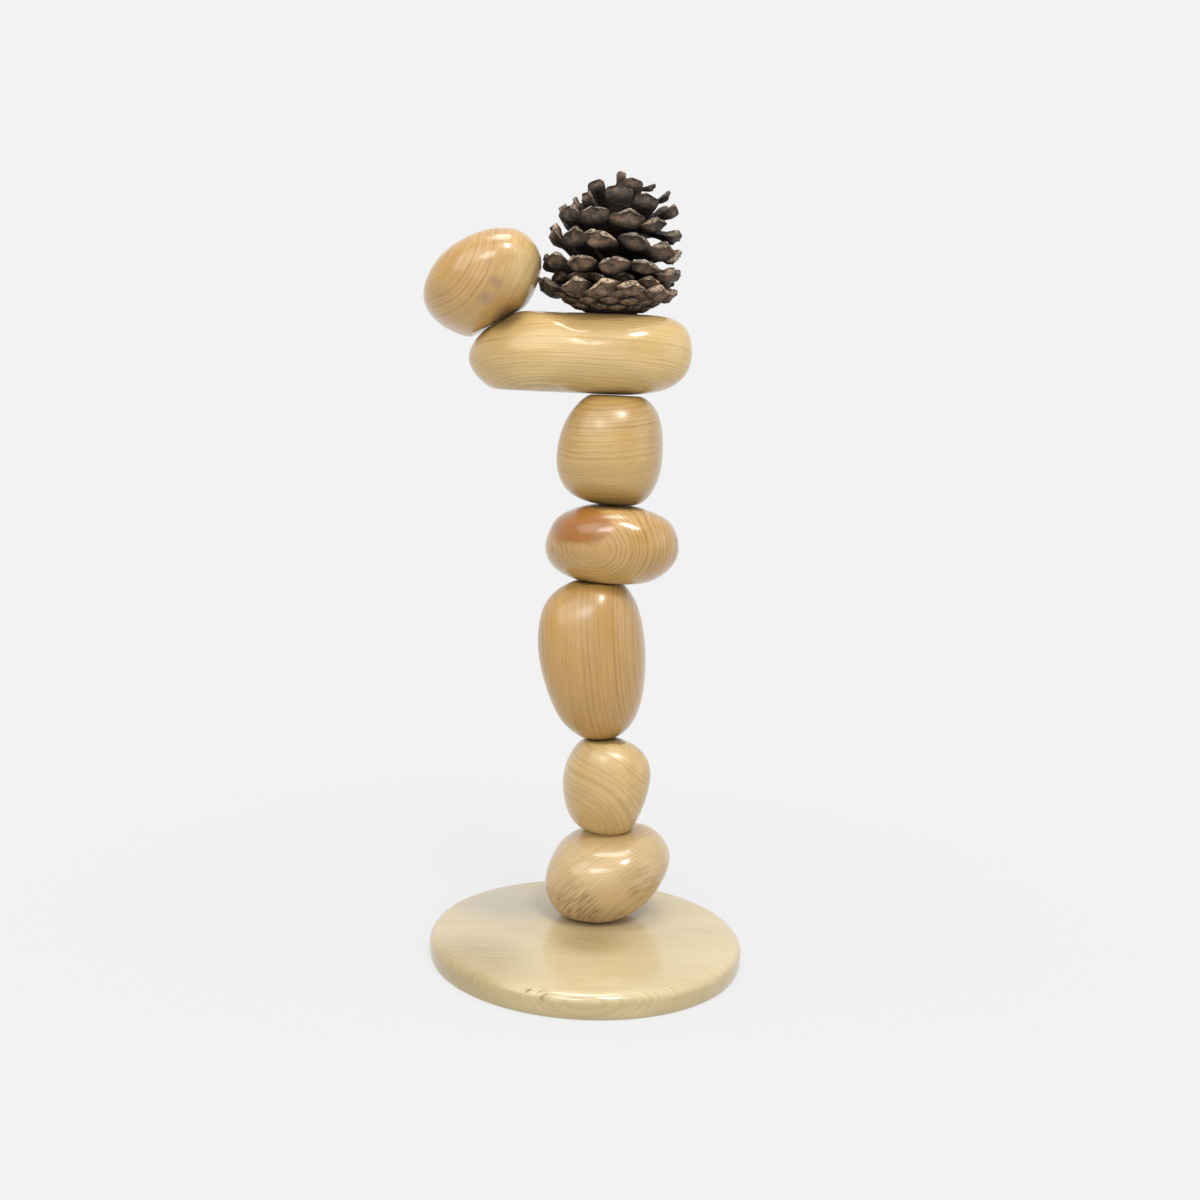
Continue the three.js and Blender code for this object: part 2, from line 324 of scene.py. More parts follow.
FLATS = {
    "pebble_bottom": [(SEAT, True)],
    "pebble_small": [(SMALL_FOOT, True), (TALL_FOOT, False)],
    "pebble_tall": [(TALL_FOOT, True), (AMBER_FOOT, False)],
    "pebble_amber": [(AMBER_FOOT, True), (UPPER_FOOT, False)],
    "pebble_upper": [(UPPER_FOOT, True), (SLAB_FOOT, False)],
    "slab_pebble": [(SLAB_FOOT, True), (CONE_FOOT, False)],
    "head_pebble": [],
}

print("pebbles", len(PEBBLES))

# %% [markdown]
# ## Build the pebbles
#
# The real pebbles are sanded one at a time, and here each one is made the same way: shape it,
# sand its joints, then move it back with the stack, which stands behind the middle of the disc.
# The long pebble rounds softly into the flat under the pine cone, where a crisp edge would catch
# a hard line of light. A soft bend lowers the flat a little, so its plane starts higher.

# %% Build the pebbles
STACK_SETBACK = 23.0
SOFT_ROUNDING = 0.8
SOFT_ALLOWANCE = 0.3

wood_pieces = {}
for node, spec in PEBBLES.items():
    points = pebble_points(**spec)
    for height, above in FLATS[node]:
        soft = height == CONE_FOOT
        rounding = SOFT_ROUNDING if soft else FLAT_ROUNDING
        level = height + SOFT_ALLOWANCE if soft else height
        points = sand_flat(points, (0, 0, level), 0, above, rounding)
    if node in ("slab_pebble", "head_pebble"):
        points = sand_flat(points, HEAD_JOINT, HEAD_JOINT_DEGREES, node == "head_pebble")
    points[:, 1] += STACK_SETBACK
    piece = new_piece(
        f"fine_{node}",
        points * MM,
        skin_faces(OUTLINE_POINTS, SIDE_RINGS - 1),
        [node],
    )
    wood_pieces[node] = piece
    print(node, len(piece.data.polygons), "faces")

# %% [markdown]
# ## The seat in the bottom pebble
#
# The small pebble is sunk into a shallow seat in the bottom pebble. A swollen copy of the small
# pebble is cut away from the bottom one with a Boolean, which leaves a hair-thin gap for glue.
# The cut's edge is marked sharp, so that the smooth shading doesn't smear over it.

# %% Cut the seat
SEAT_CLEARANCE = 0.12
SHARP_FROM = math.radians(50)

swollen = wood_pieces["pebble_small"].data.copy()
grown = np.empty(len(swollen.vertices) * 3)
swollen.vertices.foreach_get("co", grown)
outward = np.empty(len(grown))
swollen.vertices.foreach_get("normal", outward)
swollen.vertices.foreach_set("co", grown + outward * SEAT_CLEARANCE * MM)
cutter = bpy.data.objects.new("seat_cutter", swollen)
bpy.context.scene.collection.objects.link(cutter)
bottom = wood_pieces["pebble_bottom"]
cut = bottom.modifiers.new("seat", "BOOLEAN")
cut.object = cutter
cut.solver = "EXACT"
depsgraph = bpy.context.evaluated_depsgraph_get()
seated = bpy.data.meshes.new_from_object(bottom.evaluated_get(depsgraph))
bottom.modifiers.clear()
bottom.data = seated
bpy.data.objects.remove(cutter)
seated.set_sharp_from_angle(angle=SHARP_FROM)
print("bottom pebble with its seat:", len(seated.polygons), "faces")

# %% [markdown]
# ## The turned disc
#
# The disc is turned on a lathe, so its half section is drawn once and spun around the middle. It
# has a small bevel at the foot, an upright edge, a rounded corner and a flat top that falls off a
# little towards the corner. The corner is drawn as a quarter of an ellipse, because a lacquered
# edge shows every kink as a broken highlight.

# %% Turned disc
DISC_RADIUS = 73.6
DISC_WIDEST = 7.0
DISC_CORNER_RADIUS = 68.8
DISC_CORNER_HEIGHT = 11.8
DISC_TURNS = 288
CORNER_STEPS = 22
FALL_STEPS = 12
FLAT_TOP_RADIUS = 42.0
DISC_SIDE = [(73.58, 4.6), (73.5, 2.6), (73.25, 1.4), (72.9, 0.6), (72.6, 0.15), (72.1, 0.0)]


def disc_section():
    """Half section of the disc from the middle of its top to its foot, in millimetres."""
    section = [(0.0, SEAT), (FLAT_TOP_RADIUS / 2, SEAT)]
    for step in range(FALL_STEPS):
        share = step / FALL_STEPS
        radius = FLAT_TOP_RADIUS + (DISC_CORNER_RADIUS - FLAT_TOP_RADIUS) * share
        section.append((radius, SEAT - (SEAT - DISC_CORNER_HEIGHT) * share**2))
    for step in range(CORNER_STEPS + 1):
        turn = math.pi / 2 * step / CORNER_STEPS
        section.append((
            DISC_CORNER_RADIUS + (DISC_RADIUS - DISC_CORNER_RADIUS) * math.sin(turn),
            DISC_WIDEST + (DISC_CORNER_HEIGHT - DISC_WIDEST) * math.cos(turn),
        ))
    return section + DISC_SIDE


def spun_rings(section, count):
    """Rings of points, one for each (radius, height) of a half section."""
    turns = np.linspace(0, 2 * math.pi, count, endpoint=False)
    return [
        np.stack([radius * np.cos(turns), radius * np.sin(turns), np.full(count, height)], 1)
        for radius, height in section
    ]


disc_rings = spun_rings(disc_section()[1:], DISC_TURNS)
disc_points = np.vstack([[[0, 0, SEAT]], *disc_rings, [[0, 0, 0]]])
disc_faces = skin_faces(DISC_TURNS, len(disc_rings))
wood_pieces["base_disc"] = new_piece(
    "fine_base_disc", disc_points * MM, disc_faces, ["base_disc"]
)
print("disc", len(disc_faces), "faces")

# %% [markdown]
# ## The pine cone
#
# A cone grows its scales one after another along a shallow spiral. Each scale is a woody tongue
# that ends in a thick shield. From the front, the shield's outer facet shows as a lens with a
# lighter upper rim, partly worn and partly painted light, and the tongue behind it is painted
# nearly black as shade. One tongue is shaped from stations along its length: the underside
# swells to a belly, and from there a facet rises to the rim. One sculpted scale could be copied
# round instead, but here each one is drawn anew with its own sway, twist and notch, so no two
# are alike.

# %% Scale shape
STATIONS = np.array([
    0, 0.1, 0.2, 0.3, 0.4, 0.5, 0.58, 0.65, 0.71, 0.76, 0.80, 0.835,
    0.865, 0.89, 0.915, 0.94, 0.96, 0.977, 0.99, 1.0,
])
HALF_WIDTHS = (
    [0, 0.25, 0.5, 0.68, 0.80, 0.88, 0.93, 0.965, 0.985, 1.0],
    [0.30, 0.46, 0.70, 0.88, 0.97, 1.0, 0.97, 0.88, 0.72, 0.38],
)
TOP_RISE = ([0, 0.5, 0.75, 0.86, 0.94, 1.0], [0.18, 0.16, 0.17, 0.27, 0.36, 0.34])
UNDERSIDE = (
    [0, 0.4, 0.62, 0.74, 0.82, 0.88, 0.94, 0.98, 1.0],
    [0.20, 0.26, 0.34, 0.55, 0.66, 0.52, 0.18, -0.10, -0.26],
)
SECTION_POINTS = 26
ABOUT_A_TURN = 6.28
SWAY, TWIST, LOPSIDE, NOTCH = 0.06, 0.42, 0.26, 0.4
TOP_ARCH, UNDER_ARCH = 1.7, 1.9
BOSS_HEIGHT, BOSS_PLACE, BOSS_SPREAD, BOSS_SHARPNESS = 0.16, 0.9, 0.035, 8
DROOP, RIPPLE, RIM_WAVE, RIM_START = 0.10, 0.14, 0.5, 0.8
CURL_POWER, SINK = 2.2, 0.34


def scale_points(length, width, thickness, curl, chance):
    """Points of one scale along +X, its root at the origin, in millimetres, and their looks."""
    around = np.linspace(0, 2 * math.pi, SECTION_POINTS, endpoint=False)
    across, up = np.cos(around), np.sin(around)
    sway, phase = chance.uniform(-SWAY, SWAY), chance.uniform(0, ABOUT_A_TURN)
    twist, lopsided = chance.uniform(-TWIST, TWIST), chance.uniform(-LOPSIDE, LOPSIDE)
    notch = chance.uniform(-NOTCH, NOTCH)
    rings, looks = [], []
    for u in STATIONS:
        half = width / 2 * np.interp(u, *HALF_WIDTHS)
        top = thickness * np.interp(u, *TOP_RISE)
        low = thickness * np.interp(u, *UNDERSIDE)
        boss = BOSS_HEIGHT * thickness * math.exp(-(((u - BOSS_PLACE) / BOSS_SPREAD) ** 2))
        wave = RIM_WAVE * thickness * max(0, u - RIM_START) * np.sin(across * 4 + notch * 8)
        y = across * half * (1 + lopsided * across)
        z = np.where(up > 0, np.abs(up) ** TOP_ARCH * top, -(np.abs(up) ** UNDER_ARCH) * low)
        z = z - np.where(up < 0, np.abs(up) ** BOSS_SHARPNESS * boss, 0)
        z = z - DROOP * across**2 * half
        z = z + RIPPLE * np.sin(across * 8 + phase + u * 5) * min(1, u * 2)
        z = z + np.where(up > 0, wave, 0)
        turned_y = y * math.cos(twist * u) - z * math.sin(twist * u)
        z = y * math.sin(twist * u) + z * math.cos(twist * u)
        z = z + curl * length * (u**CURL_POWER - 1) - SINK * thickness * u
        rings.append(np.stack([
            np.full(SECTION_POINTS, u * length), turned_y + sway * length * u**2, z,
        ], 1))
        looks.append(np.stack([np.full(SECTION_POINTS, u), up * 0.5 + 0.5, np.abs(across) ** 6], 1))
    ends = [rings[0].mean(axis=0), rings[-1].mean(axis=0) + np.array([0.01 * length, 0, 0])]
    points = np.vstack([ends[:1], *rings, ends[1:]])
    return points, np.vstack([[[0, 0.5, 0]], *looks, [[1, 0.9, 0]]])


print("a scale has", len(STATIONS), "stations of", SECTION_POINTS, "points")

# %% [markdown]
# ## Closed shields
#
# Low down on the cone the scales have stayed shut, and only their shields show. They tile a bowl
# like the tiles of a roof. A shield is a rounded rhombus that lies on the bowl, with a slightly
# domed face, a small boss in its middle and a skirt that hides the gap below it. These could be
# whole scales like the open ones, but the parts behind the shields would never be seen.

# %% Shield shape
BOWL = np.array([
    (12.0, 302.4), (15.5, 303.9), (19.5, 306.2), (23.5, 308.8), (27.0, 311.2), (30.0, 313.8),
    (31.5, 316.0),
])
BOWL_LENGTH = np.concatenate([[0], np.cumsum(np.linalg.norm(np.diff(BOWL, axis=0), axis=1))])
SHIELD_RINGS = [0.12, 0.25, 0.45, 0.65, 0.8, 0.9, 0.96, 1.0]
RHOMBUS_POWER = 1.28
SHIELD_DOME, SHIELD_BOSS, SHIELD_BOSS_SPREAD = 1.5, 0.35, 0.18
SHIELD_TILT, SHIELD_RIPPLE = 0.10, 0.10
SKIRT = [(0.97, -1.0, 0.35), (0.85, -2.2, 0.2)]
SLOPE_STEP = 0.5


def on_bowl(place):
    """Radius and height at a length along the bowl, and the directions along it and out of it."""
    before, spot, after = (
        np.array([np.interp(place + step, BOWL_LENGTH, BOWL[:, k]) for k in range(2)])
        for step in (-SLOPE_STEP, 0, SLOPE_STEP)
    )
    slope = (after - before) / np.linalg.norm(after - before)
    return spot, slope, np.array([slope[1], -slope[0]])


def shield_points(azimuth, place, half_width, half_height, lift, chance):
    """Points of one closed shield round the cone's own axis, and their looks."""
    spot, slope, outward = on_bowl(place)
    around = np.linspace(0, 2 * math.pi, SECTION_POINTS, endpoint=False)
    edge = (np.abs(np.cos(around)) ** RHOMBUS_POWER + np.abs(np.sin(around)) ** RHOMBUS_POWER)
    edge = edge ** (-1 / RHOMBUS_POWER)
    tilt, phase = chance.uniform(-SHIELD_TILT, SHIELD_TILT), chance.uniform(0, ABOUT_A_TURN)
    rows, looks = [], []

    def row(share, height, along):
        side = share * edge * np.cos(around)
        rise = share * edge * np.sin(around)
        off = height + lift * rise + tilt * half_width * side
        off = off + SHIELD_RIPPLE * np.sin(5 * around + phase) * share
        spots = spot[:, None] + np.outer(slope, rise * half_height) + np.outer(outward, off)
        turn = azimuth + side * half_width / spot[0]
        rows.append(np.stack([spots[0] * np.sin(turn), -spots[0] * np.cos(turn), spots[1]], 1))
        looks.append(np.stack([
            np.full(SECTION_POINTS, along), rise * 0.5 + 0.5, np.full(SECTION_POINTS, share**6),
        ], 1))

    # The outer edge and the skirt of each shield get a low reach, so they take the near-black inside
    # colour: painted shade in the gaps between shields.
    for share in SHIELD_RINGS:
        boss = SHIELD_BOSS * math.exp(-((share / SHIELD_BOSS_SPREAD) ** 2))
        row(share, SHIELD_DOME * (1 - share**3) + boss, 0.90 - 0.5 * share**14)
    for share, height, along in SKIRT:
        row(share, height, along)
    ends = [rows[0].mean(axis=0), rows[-1].mean(axis=0)]
    points = np.vstack([ends[:1], *rows, ends[1:]])
    return points, np.vstack([[[0.9, 0.5, 0]], *looks, [[0.2, 0.5, 0]]])


print("the bowl is", round(float(BOWL_LENGTH[-1]), 1), "mm long from foot to rim")

# %% [markdown]
# ## The measures of the cone
#
# The open scales stand in turns. For each turn the table gives the height of the tips, how far
# they reach and how steeply they rise, each for the front, the left and the right, because on
# this cone the left scales lift and the right ones droop. Seeded unevenness does the rest.

# %% Cone measures
OPEN_TURNS = [
    {"tip": (314.3, 317.8, 311.6), "reach": (31.5, 34.0, 30.0), "rise": (2, 20, -4),
     "width": 15.4, "length": 25, "thick": 6.8, "count": 13, "first": -9},
    {"tip": (318.0, 321.5, 315.6), "reach": (23.0, 27.0, 29.0), "rise": (6, 26, -4),
     "width": 13.0, "length": 21, "thick": 4.6, "count": 12, "first": 15},
    {"tip": (324.6, 328.6, 319.6), "reach": (31.0, 31.5, 30.5), "rise": (8, 36, -5),
     "width": 16.2, "length": 26, "thick": 6.6, "count": 12, "first": 0},
    {"tip": (335.6, 341.6, 328.6), "reach": (29.5, 28.8, 31.0), "rise": (22, 50, -7),
     "width": 16.4, "length": 26, "thick": 7.0, "count": 12, "first": -15},
    {"tip": (346.2, 350.4, 336.6), "reach": (26.0, 25.0, 30.0), "rise": (36, 50, -4),
     "width": 15.6, "length": 25, "thick": 6.6, "count": 11, "first": 9},
    {"tip": (356.0, 353.2, 348.6), "reach": (17.5, 20.5, 26.0), "rise": (70, 56, 24),
     "width": 11.8, "length": 23, "thick": 5.0, "count": 9, "first": -3},
    {"tip": (360.0, 362.4, 355.6), "reach": (10.0, 15.5, 22.0), "rise": (76, 60, 38),
     "width": 10.4, "length": 20, "thick": 4.0, "count": 5, "first": 25},
]
CLOSED_TURNS = [
    {"place": 3.6, "count": 11, "first": 12, "half_width": 5.0, "half_height": 4.0, "lift": 0.8},
    {"place": 8.0, "count": 13, "first": -4, "half_width": 5.3, "half_height": 4.5, "lift": 1.0},
    {"place": 13.0, "count": 13, "first": 8, "half_width": 6.4, "half_height": 5.0, "lift": 1.2},
]
TOP_SCALES = [
    {"azimuth": 206, "tip": 365.2, "reach": 2.4, "rise": 82, "width": 4.6, "length": 18, "thick": 3.0},
    {"azimuth": 84, "tip": 360.0, "reach": 15.0, "rise": 16, "width": 3.2, "length": 15, "thick": 3.4},
    {"azimuth": 30, "tip": 361.5, "reach": 6.5, "rise": 72, "width": 8.5, "length": 18, "thick": 4.6},
]
CONE_FOOT_X = -2.6
CONE_LEAN = 0.045
CONE_CORE = [
    (0, 301.15), (11.8, 301.15), (12.7, 301.5), (13.1, 302.4), (14.0, 304), (15.0, 306),
    (13, 309), (9.5, 314), (8, 331), (6, 343), (3, 353), (0, 357),
]
CLIMB_PER_TURN = 6.0
print("turns of open scales", len(OPEN_TURNS), "and of closed shields", len(CLOSED_TURNS))

# %% [markdown]
# ## Placing the parts of the cone
#
# A real cone is one grown piece, so all its parts end up in one mesh. They could be parented
# objects, but one mesh is lighter. Each part is first made upright round the cone's own axis,
# then leaned a little and moved to its foot, as a whole. A fine jitter roughens the bark.

# %% Placing helpers
CONE_SEED, JITTER_SEED = 7, 11
JITTER = 0.05
CONE_CLEARANCE = 0.15

cone_chance = random.Random(CONE_SEED)
jitter_chance = np.random.default_rng(JITTER_SEED)
cone_points, cone_faces, cone_looks, cone_tones = [], [], [], []


def add_to_cone(points, faces, looks, tone):
    """Collect one part of the cone, leaning on its foot. All parts are later joined."""
    leaned = points + jitter_chance.normal(0, JITTER, points.shape)
    leaned[:, 0] += CONE_LEAN * (points[:, 2] - CONE_FOOT) + CONE_FOOT_X
    leaned[:, 1] += STACK_SETBACK
    leaned[:, 2] = np.maximum(leaned[:, 2], CONE_FOOT + CONE_CLEARANCE)
    start = sum(len(p) for p in cone_points)
    cone_points.append(leaned)
    cone_faces.extend([tuple(start + v for v in face) for face in faces])
    cone_looks.append(looks)
    cone_tones.append(np.full(len(points), tone))


def by_side(values, degrees):
    """Mix a (front, left, right) value for a direction. The back is like the front."""
    side = math.sin(math.radians(degrees))
    return values[0] + (values[1 if side < 0 else 2] - values[0]) * side**2


def place_scale(points, degrees, reach, tip, rise, length):
    """Turn a scale up by its rise, push it out to its reach and swing it round the axis."""
    rise, swing = math.radians(rise), math.radians(degrees - 90)
    x = points[:, 0] - length
    out = reach + x * math.cos(rise) - points[:, 2] * math.sin(rise)
    height = tip + x * math.sin(rise) + points[:, 2] * math.cos(rise)
    side = points[:, 1]
    return np.stack([
        out * math.cos(swing) - side * math.sin(swing),
        out * math.sin(swing) + side * math.cos(swing),
        height,
    ], axis=1)


print("tip height on the left of the lowest turn:", by_side(OPEN_TURNS[0]["tip"], -90), "mm")

# %% [markdown]
# ## Core and closed shields
#
# The core is the woody stem that the scales grow from. It hardly shows, but it closes the view
# between them. The closed shields sit on the bowl in staggered turns, each a little off its
# place, because even spacing would look moulded.

# %% Core and closed shields
CORE_TURNS = 24
# The core takes the near-black inside colour too: painted shade between the scales.
CORE_LOOK, CORE_TONE = [0.2, 0.5, 0.0], 0.3
SHIELD_TONES = (0.55, 0.45)

core_rings = spun_rings(CONE_CORE[1:-1], CORE_TURNS)
core = np.vstack([[[0, 0, CONE_CORE[0][1]]], *core_rings, [[0, 0, CONE_CORE[-1][1]]]])
core_faces = [tuple(reversed(f)) for f in skin_faces(CORE_TURNS, len(core_rings))]
add_to_cone(core, core_faces, np.tile(CORE_LOOK, (len(core), 1)), CORE_TONE)

shield_faces = skin_faces(SECTION_POINTS, len(SHIELD_RINGS) + len(SKIRT))
for turn in CLOSED_TURNS:
    for index in range(turn["count"]):
        degrees = turn["first"] + 360 / turn["count"] * index + cone_chance.uniform(-2, 2)
        points, looks = shield_points(
            math.radians(degrees), turn["place"] + cone_chance.uniform(-0.4, 0.4),
            turn["half_width"] * cone_chance.uniform(0.95, 1.05), turn["half_height"],
            turn["lift"], cone_chance,
        )
        tone = SHIELD_TONES[0] + SHIELD_TONES[1] * cone_chance.random()
        add_to_cone(points, shield_faces, looks, tone)
print("closed shields", sum(turn["count"] for turn in CLOSED_TURNS))

# %% [markdown]
# ## Open scales
#
# The open scales are grown turn by turn from the rim of the bowl upwards. Each turn climbs a
# little as it goes round, as a spiral does, and each scale gets its own length, width,
# thickness, curl and angle. Higher scales are darker, as in the picture: partly painted shade,
# as less light reaches them, and partly less wear.

# %% Open scales
TONE_LOSS_PER_TURN = 0.11
TOP_CURL = 0.03

scale_faces = skin_faces(SECTION_POINTS, len(STATIONS))
for order, turn in enumerate(OPEN_TURNS):
    for index in range(turn["count"]):
        degrees = (turn["first"] + 360 / turn["count"] * index + 180) % 360 - 180
        length = turn["length"] * cone_chance.uniform(0.96, 1.04)
        points, looks = scale_points(
            length, turn["width"] * cone_chance.uniform(0.90, 1.06),
            turn["thick"] * cone_chance.uniform(0.85, 1.1), cone_chance.uniform(0.01, 0.08),
            cone_chance,
        )
        azimuth = degrees + cone_chance.uniform(-2.5, 2.5)
        climb = CLIMB_PER_TURN * degrees / 360 + cone_chance.uniform(-0.7, 0.7)
        rise = by_side(turn["rise"], degrees) + cone_chance.uniform(-5, 5)
        placed = place_scale(
            points, azimuth, by_side(turn["reach"], degrees),
            by_side(turn["tip"], degrees) + climb, rise, length,
        )
        # Each turn up is darker: partly painted shade, partly less wear.
        tone = cone_chance.random() * (1 - TONE_LOSS_PER_TURN * order)
        add_to_cone(placed, scale_faces, looks, tone)
for scale in TOP_SCALES:
    points, looks = scale_points(
        scale["length"], scale["width"], scale["thick"], TOP_CURL, cone_chance
    )
    placed = place_scale(
        points, scale["azimuth"], scale["reach"], scale["tip"], scale["rise"], scale["length"]
    )
    add_to_cone(placed, scale_faces, looks, cone_chance.random())
print("open scales", sum(turn["count"] for turn in OPEN_TURNS), "and", len(TOP_SCALES), "on top")

# %% [markdown]
# ## Join the cone
#
# The parts become one mesh. Two attributes travel with its points, so that the bark knows later
# where on a scale it lies: how far out, how much it faces up and how near the rim, and a tone
# for each scale. Vertex colours could carry the same, but named attributes say what they mean.

# %% Join the cone
cone = new_piece(
    "fine_pine_cone", np.vstack(cone_points) * MM, cone_faces, ["pine_cone"]
)
look_layer = cone.data.attributes.new("scale_look", "FLOAT_VECTOR", "POINT")
look_layer.data.foreach_set("vector", np.vstack(cone_looks).ravel())
tone_layer = cone.data.attributes.new("scale_tone", "FLOAT", "POINT")
tone_layer.data.foreach_set("value", np.concatenate(cone_tones))
print("cone", len(cone.data.polygons), "faces")

# %% [markdown]
# ## Shader helpers
#
# Node trees are quicker to read when each node is one line. The first helper adds any node and
# joins or sets its inputs. The others are short names for the nodes used most: arithmetic, a
# colour ramp, a mix of two colours, a smooth step and a grey of a given brightness.


# %% Node helpers
def add(tree, kind, inputs=None, out=0, **settings):
    """Add a node, set its options, join or set its inputs, and return one of its outputs."""
    node = tree.nodes.new(kind)
    for key, value in settings.items():
        setattr(node, key, value)
    for key, value in (inputs or {}).items():
        if isinstance(value, bpy.types.NodeSocket):
            tree.links.new(value, node.inputs[key])
        else:
            node.inputs[key].default_value = value
    return node.outputs[out]


def calc(tree, operation, first, second=0.0, clamp=False):
    """One step of arithmetic."""
    return add(
        tree, "ShaderNodeMath", {0: first, 1: second}, operation=operation, use_clamp=clamp
    )


def ramp(tree, factor, stops):
    """A colour ramp with the stops given as (position, colour)."""
    node = tree.nodes.new("ShaderNodeValToRGB")
    while len(node.color_ramp.elements) < len(stops):
        node.color_ramp.elements.new(0.5)
    for element, (position, colour) in zip(node.color_ramp.elements, stops):
        element.position = position
        element.color = (*colour, 1)
    tree.links.new(factor, node.inputs[0])
    return node.outputs[0]


def blend(tree, factor, first, second, kind="MIX"):
    """Mix two colours."""
    node = tree.nodes.new("ShaderNodeMix")
    node.data_type = "RGBA"
    node.blend_type = kind
    node.clamp_factor = True
    for socket, value in ((node.inputs[0], factor), (node.inputs[6], first), (node.inputs[7], second)):
        if isinstance(value, bpy.types.NodeSocket):
            tree.links.new(value, socket)
        elif isinstance(value, (int, float)):
            socket.default_value = value
        else:
            socket.default_value = (*value, 1)
    return node.outputs[2]


def smooth_range(tree, value, low, high, to_low=0.0, to_high=1.0):
    """A smooth step between two values."""
    return add(
        tree, "ShaderNodeMapRange",
        {0: value, 1: low, 2: high, 3: to_low, 4: to_high}, interpolation_type="SMOOTHSTEP",
    )


def grey(tree, level):
    """A grey whose brightness is a value."""
    return add(tree, "ShaderNodeCombineColor", {0: level, 1: level, 2: level})


print("shader helpers are ready")

# %% [markdown]
# ## Growth rings
#
# Pine shows its growth rings: broad pale wood of spring and a thin darker line of late summer.
# The rings are cylinders round the pith of the log, so one recipe gives straight lines, arcs or
# ovals, depending on where the pith runs past the pebble. The pattern could be painted on, but a
# solid recipe in object space wraps round every side with no seam. Slow noise bends the rings,
# and a white noise gives each ring its own strength.

# %% Growth rings
UPRIGHT_FROM = 0.9
SLOW_ALONG = 0.3
BROAD_BEND, FINE_BEND = 3.2, 0.7
RING_DRIFT = 2.4


def log_directions(axis):
    """Two directions across the log and one along it."""
    along = Vector(axis).normalized()
    other = Vector((0, 0, 1)) if abs(along.z) < UPRIGHT_FROM else Vector((0, 1, 0))
    across = along.cross(other).normalized()
    return across, along.cross(across).normalized(), along


def log_coordinates(tree, place, pith, axis, squeeze):
    """Distances from the pith in millimetres: two across the log and one along it."""
    moved = add(tree, "ShaderNodeVectorMath", {0: place, 1: Vector(pith) * MM}, operation="SUBTRACT")
    across, upward, along = log_directions(axis)
    return [
        add(tree, "ShaderNodeVectorMath", {0: moved, 1: side / (shrink * MM)}, out=1,
            operation="DOT_PRODUCT")
        for side, shrink in ((across, squeeze[0]), (upward, squeeze[1]), (along, 1.0))
    ]


def ring_pattern(tree, a, b, c, ring, bend):
    """The bent rings: slow noises, distance from the pith, place in a ring, a ring's chance."""
    slow = add(tree, "ShaderNodeCombineXYZ", {0: a, 1: b, 2: calc(tree, "MULTIPLY", c, SLOW_ALONG)})
    broad, fine, fade = (
        add(tree, "ShaderNodeTexNoise", {"Vector": slow, "Scale": scale, "Detail": detail})
        for scale, detail in ((0.04, 1.0), (0.25, 3.0), (0.10, 2.0))
    )
    squares = [calc(tree, "POWER", value, 2.0) for value in (a, b)]
    radius = calc(tree, "SQRT", calc(tree, "ADD", *squares))
    for noise, size in ((broad, BROAD_BEND * bend), (fine, FINE_BEND * bend)):
        off = calc(tree, "MULTIPLY", calc(tree, "SUBTRACT", noise, 0.5), size)
        radius = calc(tree, "ADD", radius, off)
    uneven = add(
        tree, "ShaderNodeTexNoise", {"W": radius, "Scale": 0.18, "Detail": 1.0}, noise_dimensions="1D"
    )
    drift = calc(tree, "MULTIPLY", uneven, RING_DRIFT)
    counted = calc(tree, "ADD", calc(tree, "DIVIDE", radius, ring), drift)
    chance = add(
        tree, "ShaderNodeTexWhiteNoise", {"W": calc(tree, "FLOOR", counted)}, noise_dimensions="1D"
    )
    return {
        "broad": broad, "fine": fine, "fade": fade, "radius": radius,
        "within": calc(tree, "FRACT", counted), "chance": chance,
    }


print("the directions of an upright log:", log_directions((0, 0, 1)))

# %% [markdown]
# ## Late wood and fibres
#
# The dark line of late summer is soft towards the pith and sharp towards the bark, so a colour
# ramp across one ring draws it. Fine fibres and short dashes run along the rings. They come from
# noise that is stretched: quick across the rings, slow round and along the log.

# %% Late wood and fibres
LATE_LINE = [
    (0.0, (0.45,) * 3), (0.07, (0.08,) * 3), (0.45, (0.02,) * 3), (0.74, (0.34,) * 3),
    (0.89, (1.0,) * 3), (1.0, (0.45,) * 3),
]
STREAK_SCALES = (4.5, 0.16, 0.07)
DASH_SCALES = (3.8, 0.17, 0.11)
QUIET_NEAR_PITH = (5.0, 17.0)


def stretched_noise(tree, radius, a, b, c, scales, detail):
    """Noise that runs quickly across the rings and slowly round and along the log."""
    around = calc(tree, "ADD", a, calc(tree, "MULTIPLY", b, 0.7))
    place = add(tree, "ShaderNodeCombineXYZ", {
        k: calc(tree, "MULTIPLY", value, scale) for k, (value, scale) in
        enumerate(zip((radius, around, c), scales))
    })
    return add(tree, "ShaderNodeTexNoise", {"Vector": place, "Scale": 1.0, "Detail": detail})


def late_strength(tree, grain, late_share):
    """How much late wood shows: the line, uneven from ring to ring and along each ring."""
    strength = ramp(tree, grain["within"], LATE_LINE)
    for value, low, high, least, most in (
        (grain["chance"], 0.0, 1.0, 0.45, 1.1),
        (grain["fade"], 0.36, 0.58, 0.60, 1.05),
        (grain["streak"], 0.32, 0.60, 0.60, 1.25),
        (grain["radius"], *QUIET_NEAR_PITH, 0.08, 1.0),
    ):
        strength = calc(tree, "MULTIPLY", strength, smooth_range(tree, value, low, high, least, most))
    strength = calc(tree, "ADD", strength, smooth_range(tree, grain["dash"], 0.60, 0.74, 0.0, 0.40))
    return calc(tree, "MULTIPLY", strength, late_share, clamp=True)


print("a late wood line has", len(LATE_LINE), "stops")

